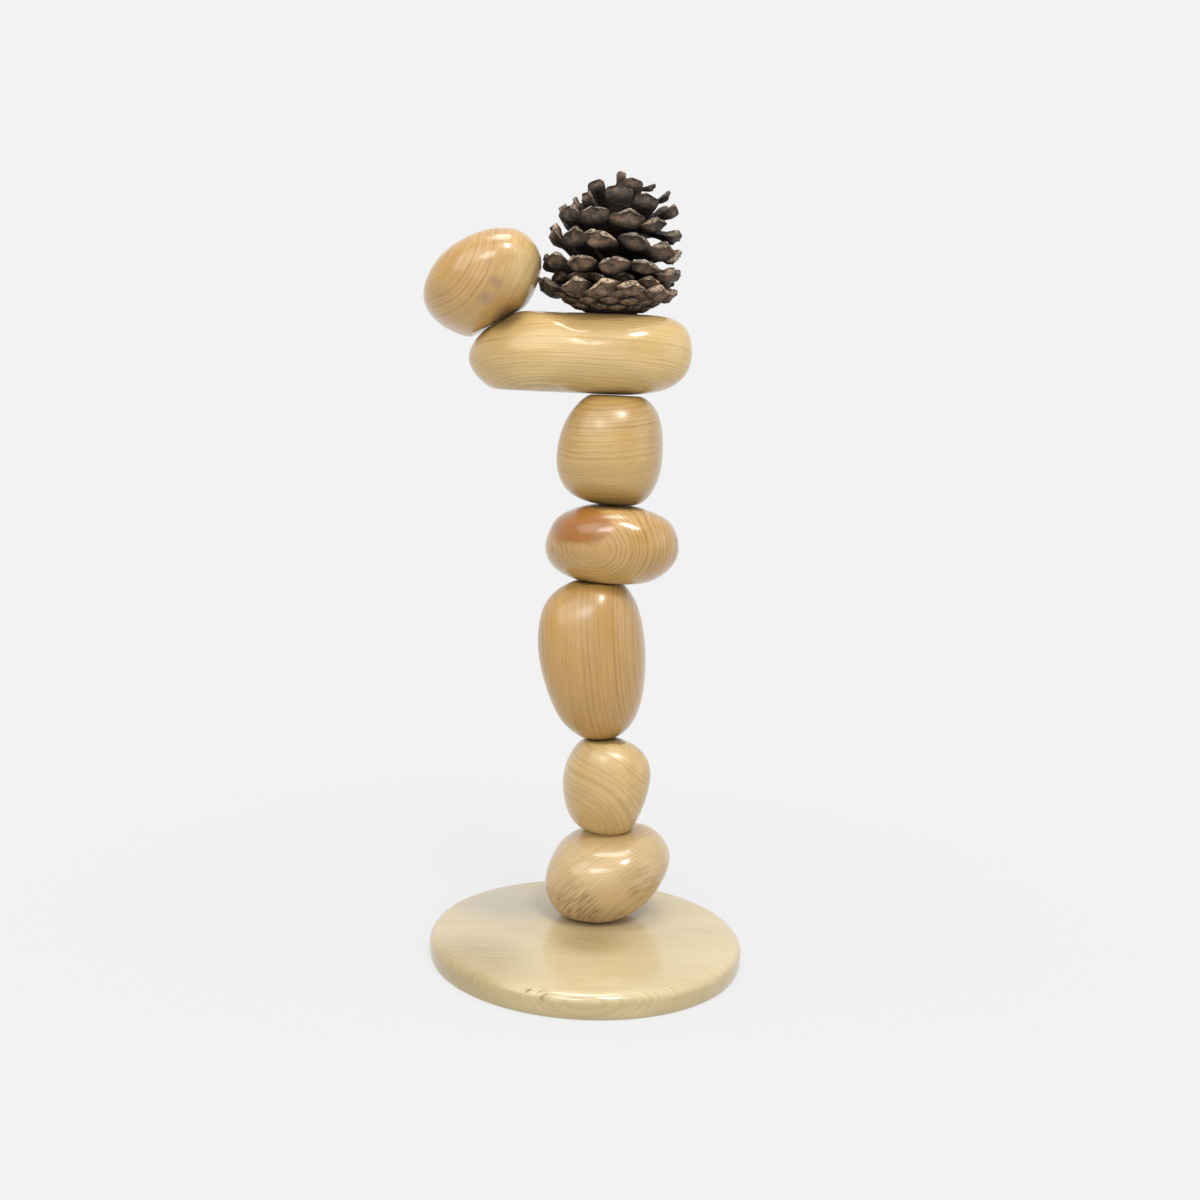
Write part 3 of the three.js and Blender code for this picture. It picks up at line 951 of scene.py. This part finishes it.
# %% [markdown]
# ## Heartwood, checks, stains, painted light and glue
#
# Each pebble has its own history. Heartwood is a darker zone with a ragged border. Checks are
# short drying cracks that follow the fibres. Stains are soft tones, and a little glue has dried
# at the joints. The same soft patches also paint light, shade and reflections onto the disc and
# the head pebble. Each of these is one mask in object space that blends one colour over the
# wood, which is easier to move about than painted spots.

# %% Marks in the wood
GLUE = (0.090, 0.052, 0.018)
CHECK = (0.170, 0.095, 0.036)
RIM_FADE = 2.5
GLUE_UNEVENNESS = 1.4


def distance_to(tree, place, centre, size=(1, 1, 1)):
    """Distance from a centre in millimetres, in metres or in parts of a size in metres."""
    off = add(tree, "ShaderNodeVectorMath", {0: place, 1: Vector(centre) * MM}, operation="SUBTRACT")
    if tuple(size) != (1, 1, 1):
        parts = [1 / (s * MM) for s in size]
        off = add(tree, "ShaderNodeVectorMath", {0: off, 1: parts}, operation="MULTIPLY")
    return add(tree, "ShaderNodeVectorMath", {0: off}, out=1, operation="LENGTH")


def with_heart(tree, colour, place, grain, late, heart):
    """Blend a ragged zone of heartwood over the colour."""
    centre, size, heart_colour, amount = heart
    wander = calc(tree, "MULTIPLY", calc(tree, "SUBTRACT", grain["fade"], 0.5), 0.9)
    ragged = calc(tree, "ADD", distance_to(tree, place, centre, size), wander)
    inside = smooth_range(tree, ragged, 0.62, 1.12, amount, 0.0)
    inner = blend(tree, calc(tree, "MULTIPLY", grain["strength"], 0.3), heart_colour, late)
    return blend(tree, inside, colour, inner)


def check_mask(tree, place, grain, centre, size, amount):
    """Where the short cracks of one zone lie."""
    away = distance_to(tree, place, centre)
    zone = smooth_range(tree, away, 0.45 * size * MM, size * MM, amount, 0.0)
    return calc(tree, "MULTIPLY", smooth_range(tree, grain["dash"], 0.53, 0.60), zone)


def with_stain_and_painted_light(tree, colour, place, grain, centre, size, stain_and_light_colour, amount):
    """Blend a soft patch over the colour, streaked by the fibres. It serves for real stains and for
    painted light, shade and reflections.
    """
    wander = calc(tree, "MULTIPLY", grain["fade"], 0.006)
    away = calc(tree, "ADD", distance_to(tree, place, centre), wander)
    stain_and_light_patch = smooth_range(tree, away, (0.2 * size + 3) * MM, (size + 3) * MM, amount, 0.0)
    streaks = smooth_range(tree, grain["streak"], 0.36, 0.58, 0.35, 1.0)
    return blend(tree, calc(tree, "MULTIPLY", stain_and_light_patch, streaks), colour, stain_and_light_colour)


def with_rim_tone(tree, colour, height, grain, level, rim_colour, amount):
    """Blend a tone over everything below a level."""
    low = smooth_range(tree, height, (level - RIM_FADE) * MM, level * MM, amount, 0.0)
    patches = smooth_range(tree, grain["fade"], 0.3, 0.7, 0.6, 1.2)
    return blend(tree, calc(tree, "MULTIPLY", low, patches, clamp=True), colour, rim_colour)


def with_glue(tree, colour, height, grain, level, width, amount):
    """Blend a dark line of dried glue over the colour, at the level of a joint."""
    away = calc(tree, "ABSOLUTE", calc(tree, "SUBTRACT", height, level * MM))
    wander = calc(tree, "SUBTRACT", grain["fine"], 0.5)
    away = calc(tree, "ADD", away, calc(tree, "MULTIPLY", wander, GLUE_UNEVENNESS * MM))
    glue = smooth_range(tree, away, 0.25 * width * MM, width * MM, amount, 0.0)
    return blend(tree, glue, colour, GLUE)


print("glue", GLUE, "and checks", CHECK)

# %% [markdown]
# ## Lacquered pine
#
# The wood recipe puts the parts together: rings, late wood, fibres, then the marks. The lacquer
# is a clear coat over the wood, smooth but not as smooth as glass, so it blurs its lamps a
# little. A faint bump lets the fibres and checks show in the highlights, which modelled grooves
# would do too, but with far more faces.


# %% Wood recipe
def wood_material(name, pith, axis, ring, pale, late, late_share=0.6, squeeze=(1, 1), bend=1.0,
                  heart=None, checks=(), stains_and_painted_light=(), joints=(), rim_tone=None, coat=0.12, fibre=0.14):
    """Pine with rings around a pith line, given in millimetres, under a clear lacquer."""
    material = bpy.data.materials.new(name)
    material.use_nodes = True
    tree = material.node_tree
    shader = tree.nodes["Principled BSDF"]
    place = add(tree, "ShaderNodeTexCoord", out=3)
    height = add(tree, "ShaderNodeSeparateXYZ", {0: place}, out=2)
    a, b, c = log_coordinates(tree, place, pith, axis, squeeze)
    grain = ring_pattern(tree, a, b, c, ring, bend)
    grain["streak"] = stretched_noise(tree, grain["radius"], a, b, c, STREAK_SCALES, 3.0)
    grain["dash"] = stretched_noise(tree, grain["radius"], a, b, c, DASH_SCALES, 1.0)
    grain["strength"] = late_strength(tree, grain, late_share)

    colour = blend(tree, grain["strength"], pale, late)
    colour = blend(tree, smooth_range(tree, grain["broad"], 0.38, 0.66, 0.0, 0.22), colour, late)
    fibres = smooth_range(tree, grain["streak"], 0.28, 0.72, 1.0 - fibre, 1.0 + fibre * 0.7)
    colour = blend(tree, 1.0, colour, grey(tree, fibres), "MULTIPLY")
    if heart:
        colour = with_heart(tree, colour, place, grain, late, heart)
    lifted = calc(tree, "MULTIPLY", grain["streak"], 0.3)
    relief = calc(tree, "SUBTRACT", lifted, calc(tree, "MULTIPLY", grain["strength"], 0.3))
    for check in checks:
        cracked = check_mask(tree, place, grain, *check)
        colour = blend(tree, cracked, colour, CHECK)
        relief = calc(tree, "SUBTRACT", relief, cracked)
    for stain_and_light_patch in stains_and_painted_light:
        colour = with_stain_and_painted_light(tree, colour, place, grain, *stain_and_light_patch)
    if rim_tone:
        colour = with_rim_tone(tree, colour, height, grain, *rim_tone)
    for joint in joints:
        colour = with_glue(tree, colour, height, grain, *joint)

    bump = add(tree, "ShaderNodeBump", {"Strength": 0.25, "Distance": 0.00012, "Height": relief})
    dull = smooth_range(tree, grain["streak"], 0.3, 0.7, 0.42, 0.58)
    tree.links.new(colour, shader.inputs["Base Color"])
    tree.links.new(bump, shader.inputs["Normal"])
    tree.links.new(bump, shader.inputs["Coat Normal"])
    tree.links.new(dull, shader.inputs["Roughness"])
    shader.inputs["Coat Weight"].default_value = 1.0
    shader.inputs["Coat Roughness"].default_value = coat
    shader.inputs["Coat IOR"].default_value = 1.5
    return material


print("materials so far", len(bpy.data.materials))

# %% [markdown]
# ## Wood for each piece
#
# Every piece was cut from another board, so each has its own pith line, ring width, colours and
# marks. Pith lines that run towards the viewer show ovals, and lines beside the pebble show long
# stripes. The values were chosen one by one, each piece in the same light.

# %% Wood for each piece
LATE = (0.270, 0.140, 0.034)
VIOLET = (0.165, 0.105, 0.085)

WOODS = {
    "base_disc": dict(
        pith=(0, 180, -70), axis=(1, 0.015, 0), ring=1.3, pale=(0.555, 0.450, 0.258),
        late=(0.36, 0.250, 0.100), late_share=0.52, bend=0.5, coat=0.11, fibre=0.12,
        rim_tone=(10.5, (0.40, 0.300, 0.130), 0.55),
        checks=[((-24, -69, 11.5), 3, 0.9), ((-17, -71, 10), 4, 0.9), ((9, -73, 8), 3, 0.8)],
        # The three patches on the disc's top are painted light and shade: a darker reflection on the
        # left front, a greyish reflected sheen at the back left, and the shadow and dark mirror image
        # of the bottom pebble in front of it.
        stains_and_painted_light=[
            ((-52, -42, 12), 42, (0.31, 0.222, 0.088), 0.90),
            ((-40, 30, 12), 38, (0.36, 0.325, 0.265), 0.90),
            ((2, -16, 12), 24, (0.28, 0.195, 0.070), 0.75),
        ],
    ),
    "pebble_bottom": dict(
        pith=(-60, 62, 120), axis=(0.76, 0.0, 0.65), ring=1.5, pale=(0.52, 0.360, 0.165),
        late=(0.285, 0.160, 0.050), late_share=0.50, bend=0.6, coat=0.14, joints=[(SEAT, 1.0, 0.8)],
        checks=[((-7, -3, 25), 16, 0.9), ((9, 0, 16), 12, 0.5), ((25, 2, 37), 12, 0.6)],
    ),
    "pebble_small": dict(
        pith=(-9, 0, 56), axis=(0.1, 1, 0.2), ring=3.2, pale=(0.555, 0.375, 0.142), late=LATE,
        late_share=0.44, bend=0.7, coat=0.26,
        joints=[(SMALL_FOOT, 0.7, 0.6), (TALL_FOOT, 0.9, 0.6)],
    ),
    "pebble_tall": dict(
        pith=(-92, 23, 135), axis=(-0.13, 0, 1), ring=1.9, pale=(0.445, 0.252, 0.062),
        late=(0.240, 0.118, 0.022), late_share=0.74, bend=0.9, coat=0.24,
        joints=[(TALL_FOOT, 0.9, 0.7), (AMBER_FOOT, 1.1, 0.7)],
    ),
    "pebble_amber": dict(
        pith=(-5, 23, 198), axis=(0.05, 1, 0.1), ring=2.1, squeeze=(1, 0.8), pale=(0.475, 0.285, 0.080),
        late=(0.225, 0.088, 0.012), late_share=0.92, bend=1.0, coat=0.14,
        heart=((-14, 0, 205), (17, 36, 10), (0.290, 0.105, 0.005), 1.0),
        joints=[(AMBER_FOOT, 1.1, 0.7), (UPPER_FOOT, 1.1, 0.7)],
    ),
    "pebble_upper": dict(
        pith=(0, 23, 150), axis=(1, 0, 0.07), ring=1.9, pale=(0.465, 0.295, 0.090), late=LATE,
        late_share=0.84, bend=0.7, coat=0.26,
        joints=[(UPPER_FOOT, 1.1, 0.7), (SLAB_FOOT, 0.6, 0.5)],
    ),
    "slab_pebble": dict(
        pith=(0, -12, 212), axis=(1, 0, -0.01), ring=1.2, pale=(0.540, 0.370, 0.138), late=LATE,
        late_share=0.50, bend=0.6, coat=0.14, joints=[(SLAB_FOOT, 0.6, 0.5)],
        stains_and_painted_light=[((-50, 12, 297), 11, GLUE, 0.85)],
    ),
    "head_pebble": dict(
        pith=(-92, 12, 332), axis=(0.05, 1, 0.1), ring=2.3, pale=(0.465, 0.275, 0.075),
        late=(0.270, 0.130, 0.026), late_share=0.62, bend=0.9,
        heart=((-86, 6, 328), (19, 36, 17), (0.410, 0.200, 0.035), 0.60), coat=0.14,
        checks=[((-58, 0, 322), 24, 0.40)],
        stains_and_painted_light=[
            # The first patch is painted light: the pale, lit right end of the head pebble. The others
            # are real stains and dried glue.
            ((-36, 8, 318), 22, (0.680, 0.510, 0.230), 0.90),
            ((-54, -1, 312), 4.5, VIOLET, 0.8), ((-58, 0, 304), 6, VIOLET, 0.6),
            ((-50, 12, 297), 10, GLUE, 0.85),
        ],
    ),
}

for node, recipe in WOODS.items():
    wood = wood_material(f"wood_{node}", **recipe)
    wood_pieces[node].data.materials.clear()
    wood_pieces[node].data.materials.append(wood)
print("woods", len(WOODS))

# %% [markdown]
# ## Dry bark brown
#
# The scales of the cone are dull and dark. Inside they are dark brown, painted nearly black as
# shade, the shields are grey brown, and the upper rims are lighter, partly from wear and partly as
# painted light where they face up. Each scale carries its own numbers for how far out a point
# lies, whether it faces up, and how near the rim it is, so one recipe colours all.
# A picture of bark could be wrapped on instead, but it would stretch over so many small scales.


# %% Cone material
# The inside colours are dark brown wood, painted nearly black as shade between the scales.
SHADED_INSIDE_DARK, SHADED_INSIDE_LIGHT = (0.010, 0.0065, 0.0045), (0.026, 0.016, 0.010)
SHIELD_DARK, SHIELD_LIGHT = (0.034, 0.020, 0.012), (0.140, 0.094, 0.058)
RUST = (0.190, 0.085, 0.045)
# The rim colour is partly wear and partly painted light where the rims face up.
WORN_AND_LIT_RIM = (0.430, 0.335, 0.232)
FINE_BARK, PATCHY_BARK = 900.0, 260.0


def bark_colour(tree, along, top, rim, tone, fine, patch):
    """Near-black inside as painted shade, grey-brown shields with rusty patches, upper rims lighter as
    wear and painted light, and a tone per scale.
    """
    # Inner parts take the near-black inside colour: painted shade.
    dark = blend(tree, smooth_range(tree, fine, 0.35, 0.7), SHADED_INSIDE_DARK, SHADED_INSIDE_LIGHT)
    shield = blend(tree, smooth_range(tree, patch, 0.3, 0.7), SHIELD_DARK, SHIELD_LIGHT)
    uneven = calc(tree, "MULTIPLY", calc(tree, "SUBTRACT", patch, 0.5), 0.16)
    reach = calc(tree, "ADD", along, uneven)
    colour = blend(tree, smooth_range(tree, reach, 0.76, 0.93), dark, shield)
    rusty = calc(
        tree, "MULTIPLY", smooth_range(tree, reach, 0.88, 0.98), smooth_range(tree, patch, 0.50, 0.62)
    )
    colour = blend(tree, calc(tree, "MULTIPLY", rusty, 0.6), colour, RUST)
    # Rims that face up get the light rim colour: partly wear, partly painted light from above.
    worn = calc(
        tree, "MULTIPLY", smooth_range(tree, reach, 0.92, 1.02), smooth_range(tree, top, 0.2, 0.7)
    )
    edge = calc(tree, "MULTIPLY", rim, smooth_range(tree, along, 0.6, 0.85))
    edge = calc(tree, "MULTIPLY", edge, smooth_range(tree, top, 0.45, 0.8))
    worn = calc(tree, "MAXIMUM", worn, edge)
    worn = calc(tree, "MULTIPLY", worn, smooth_range(tree, fine, 0.38, 0.58))
    colour = blend(tree, calc(tree, "MULTIPLY", worn, 0.9), colour, WORN_AND_LIT_RIM)
    shade = smooth_range(tree, tone, 0.0, 1.0, 0.60, 1.30)
    return blend(tree, 1.0, colour, grey(tree, shade), "MULTIPLY")


def cone_material():
    """Dull grey-brown bark, with rims lighter as wear and painted light, and a near-black inside as
    painted shade.
    """
    material = bpy.data.materials.new("cone_bark")
    material.use_nodes = True
    tree = material.node_tree
    shader = tree.nodes["Principled BSDF"]
    look = add(tree, "ShaderNodeAttribute", out=1, attribute_name="scale_look")
    along, top, rim = add(tree, "ShaderNodeSeparateXYZ", {0: look}).node.outputs
    tone = add(tree, "ShaderNodeAttribute", out=2, attribute_name="scale_tone")
    place = add(tree, "ShaderNodeTexCoord", out=3)
    fine = add(tree, "ShaderNodeTexNoise", {"Vector": place, "Scale": FINE_BARK, "Detail": 4.0})
    patch = add(tree, "ShaderNodeTexNoise", {"Vector": place, "Scale": PATCHY_BARK, "Detail": 3.0})
    relief = calc(tree, "ADD", calc(tree, "MULTIPLY", fine, 0.6), patch)
    bump = add(tree, "ShaderNodeBump", {"Strength": 0.9, "Distance": 0.0012, "Height": relief})
    colour = bark_colour(tree, along, top, rim, tone, fine, patch)
    tree.links.new(colour, shader.inputs["Base Color"])
    tree.links.new(bump, shader.inputs["Normal"])
    tree.links.new(smooth_range(tree, fine, 0.3, 0.7, 0.55, 0.8), shader.inputs["Roughness"])
    shader.inputs["Specular IOR Level"].default_value = 0.35
    return material


cone.data.materials.append(cone_material())
print("cone material", cone.data.materials[0].name)

# %% [markdown]
# ## Floor and backdrop
#
# The picture was taken in a bright white studio, where floor and backdrop melt into one pale
# tone. A lit white floor would need careful balancing. Here the floor glows with that tone by
# itself, and near the ornament a small share of it is matte, which takes the faint soft shadow.
# The world is as bright in front of the camera and darker behind it, so that the lacquer has
# something dark to reflect.

# %% Floor and world
BACKDROP = 0.887
BEHIND_CAMERA = 0.30
MATTE_SHARE, MATTE_GREY = 0.16, 0.53
SHADOW_NEAR, SHADOW_FAR = 0.10, 0.35
FLOOR_REACH = 6.0


def floor_material():
    """A bright floor: mostly its own even white, with a share that takes soft shadows."""
    material = bpy.data.materials.new("studio_floor")
    material.use_nodes = True
    tree = material.node_tree
    tree.nodes.clear()
    place = add(tree, "ShaderNodeTexCoord", out=3)
    away = add(tree, "ShaderNodeVectorMath", {0: place}, out=1, operation="LENGTH")
    share = smooth_range(tree, away, SHADOW_NEAR, SHADOW_FAR, MATTE_SHARE, 0.0)
    glow = add(tree, "ShaderNodeEmission", {"Color": (*(BACKDROP,) * 3, 1), "Strength": 1.0})
    matte = add(tree, "ShaderNodeBsdfDiffuse", {"Color": (*(MATTE_GREY,) * 3, 1)})
    mixed = add(tree, "ShaderNodeMixShader", {0: share, 1: glow, 2: matte})
    surface = tree.nodes.new("ShaderNodeOutputMaterial")
    tree.links.new(mixed, surface.inputs[0])
    return material


corners = [(-1, -1), (1, -1), (1, 1), (-1, 1)]
floor_mesh = bpy.data.meshes.new("floor")
floor_mesh.from_pydata([(x * FLOOR_REACH, y * FLOOR_REACH, 0) for x, y in corners], [], [(0, 1, 2, 3)])
floor = bpy.data.objects.new("floor", floor_mesh)
floor.data.materials.append(floor_material())
bpy.context.scene.collection.objects.link(floor)

world = bpy.data.worlds.new("studio")
world.use_nodes = True
bpy.context.scene.world = world
sky = world.node_tree
direction = add(sky, "ShaderNodeTexCoord", out=0)
backward = add(sky, "ShaderNodeSeparateXYZ", {0: direction}, out=1)
level = smooth_range(sky, backward, -0.5, 0.35, BEHIND_CAMERA, BACKDROP)
sky.links.new(grey(sky, level), sky.nodes["Background"].inputs[0])
print("floor", 2 * FLOOR_REACH, "m across, backdrop", BACKDROP)

# %% [markdown]
# ## Lights
#
# Lacquer mirrors its lamps, so each highlight in the picture asks for a lamp of its own. The key
# stands high, a little to the right, inside a wide weak halo. A large window stands to the left
# with a brighter core, a soft light hangs overhead, and two weak walls lift the right side and
# the undersides. They are round, because square lamps would show corners in the highlights.

# %% Lights
LOOK_AT = Vector((0, 0.013, 0.175))


def soft_box(name, azimuth, elevation, distance, size, watts):
    """A round area light aimed at the stack. Azimuth 0 is at the camera, 90 to the right."""
    light = bpy.data.lights.new(name, "AREA")
    light.shape = "DISK"
    light.size = size
    light.energy = watts
    turn, lift = math.radians(azimuth), math.radians(elevation)
    toward = Vector((
        math.sin(turn) * math.cos(lift), -math.cos(turn) * math.cos(lift), math.sin(lift),
    ))
    lamp = bpy.data.objects.new(name, light)
    lamp.location = LOOK_AT + toward * distance
    lamp.rotation_euler = toward.to_track_quat("Z", "Y").to_euler()
    bpy.context.scene.collection.objects.link(lamp)


# name, azimuth, elevation, distance in metres, size in metres, watts
soft_box("key", 25, 50, 1.3, 0.30, 7.0)
soft_box("halo", 10, 48, 1.3, 0.95, 1.5)
soft_box("window", -40, 34, 1.4, 1.05, 6)
soft_box("window_core", -10, 29, 1.4, 0.38, 3.4)
soft_box("overhead", 0, 86, 1.2, 0.6, 7)
soft_box("right_wall", 74, 16, 1.5, 1.2, 4.0)
soft_box("low_wall", -5, 3, 1.6, 1.2, 3.5)
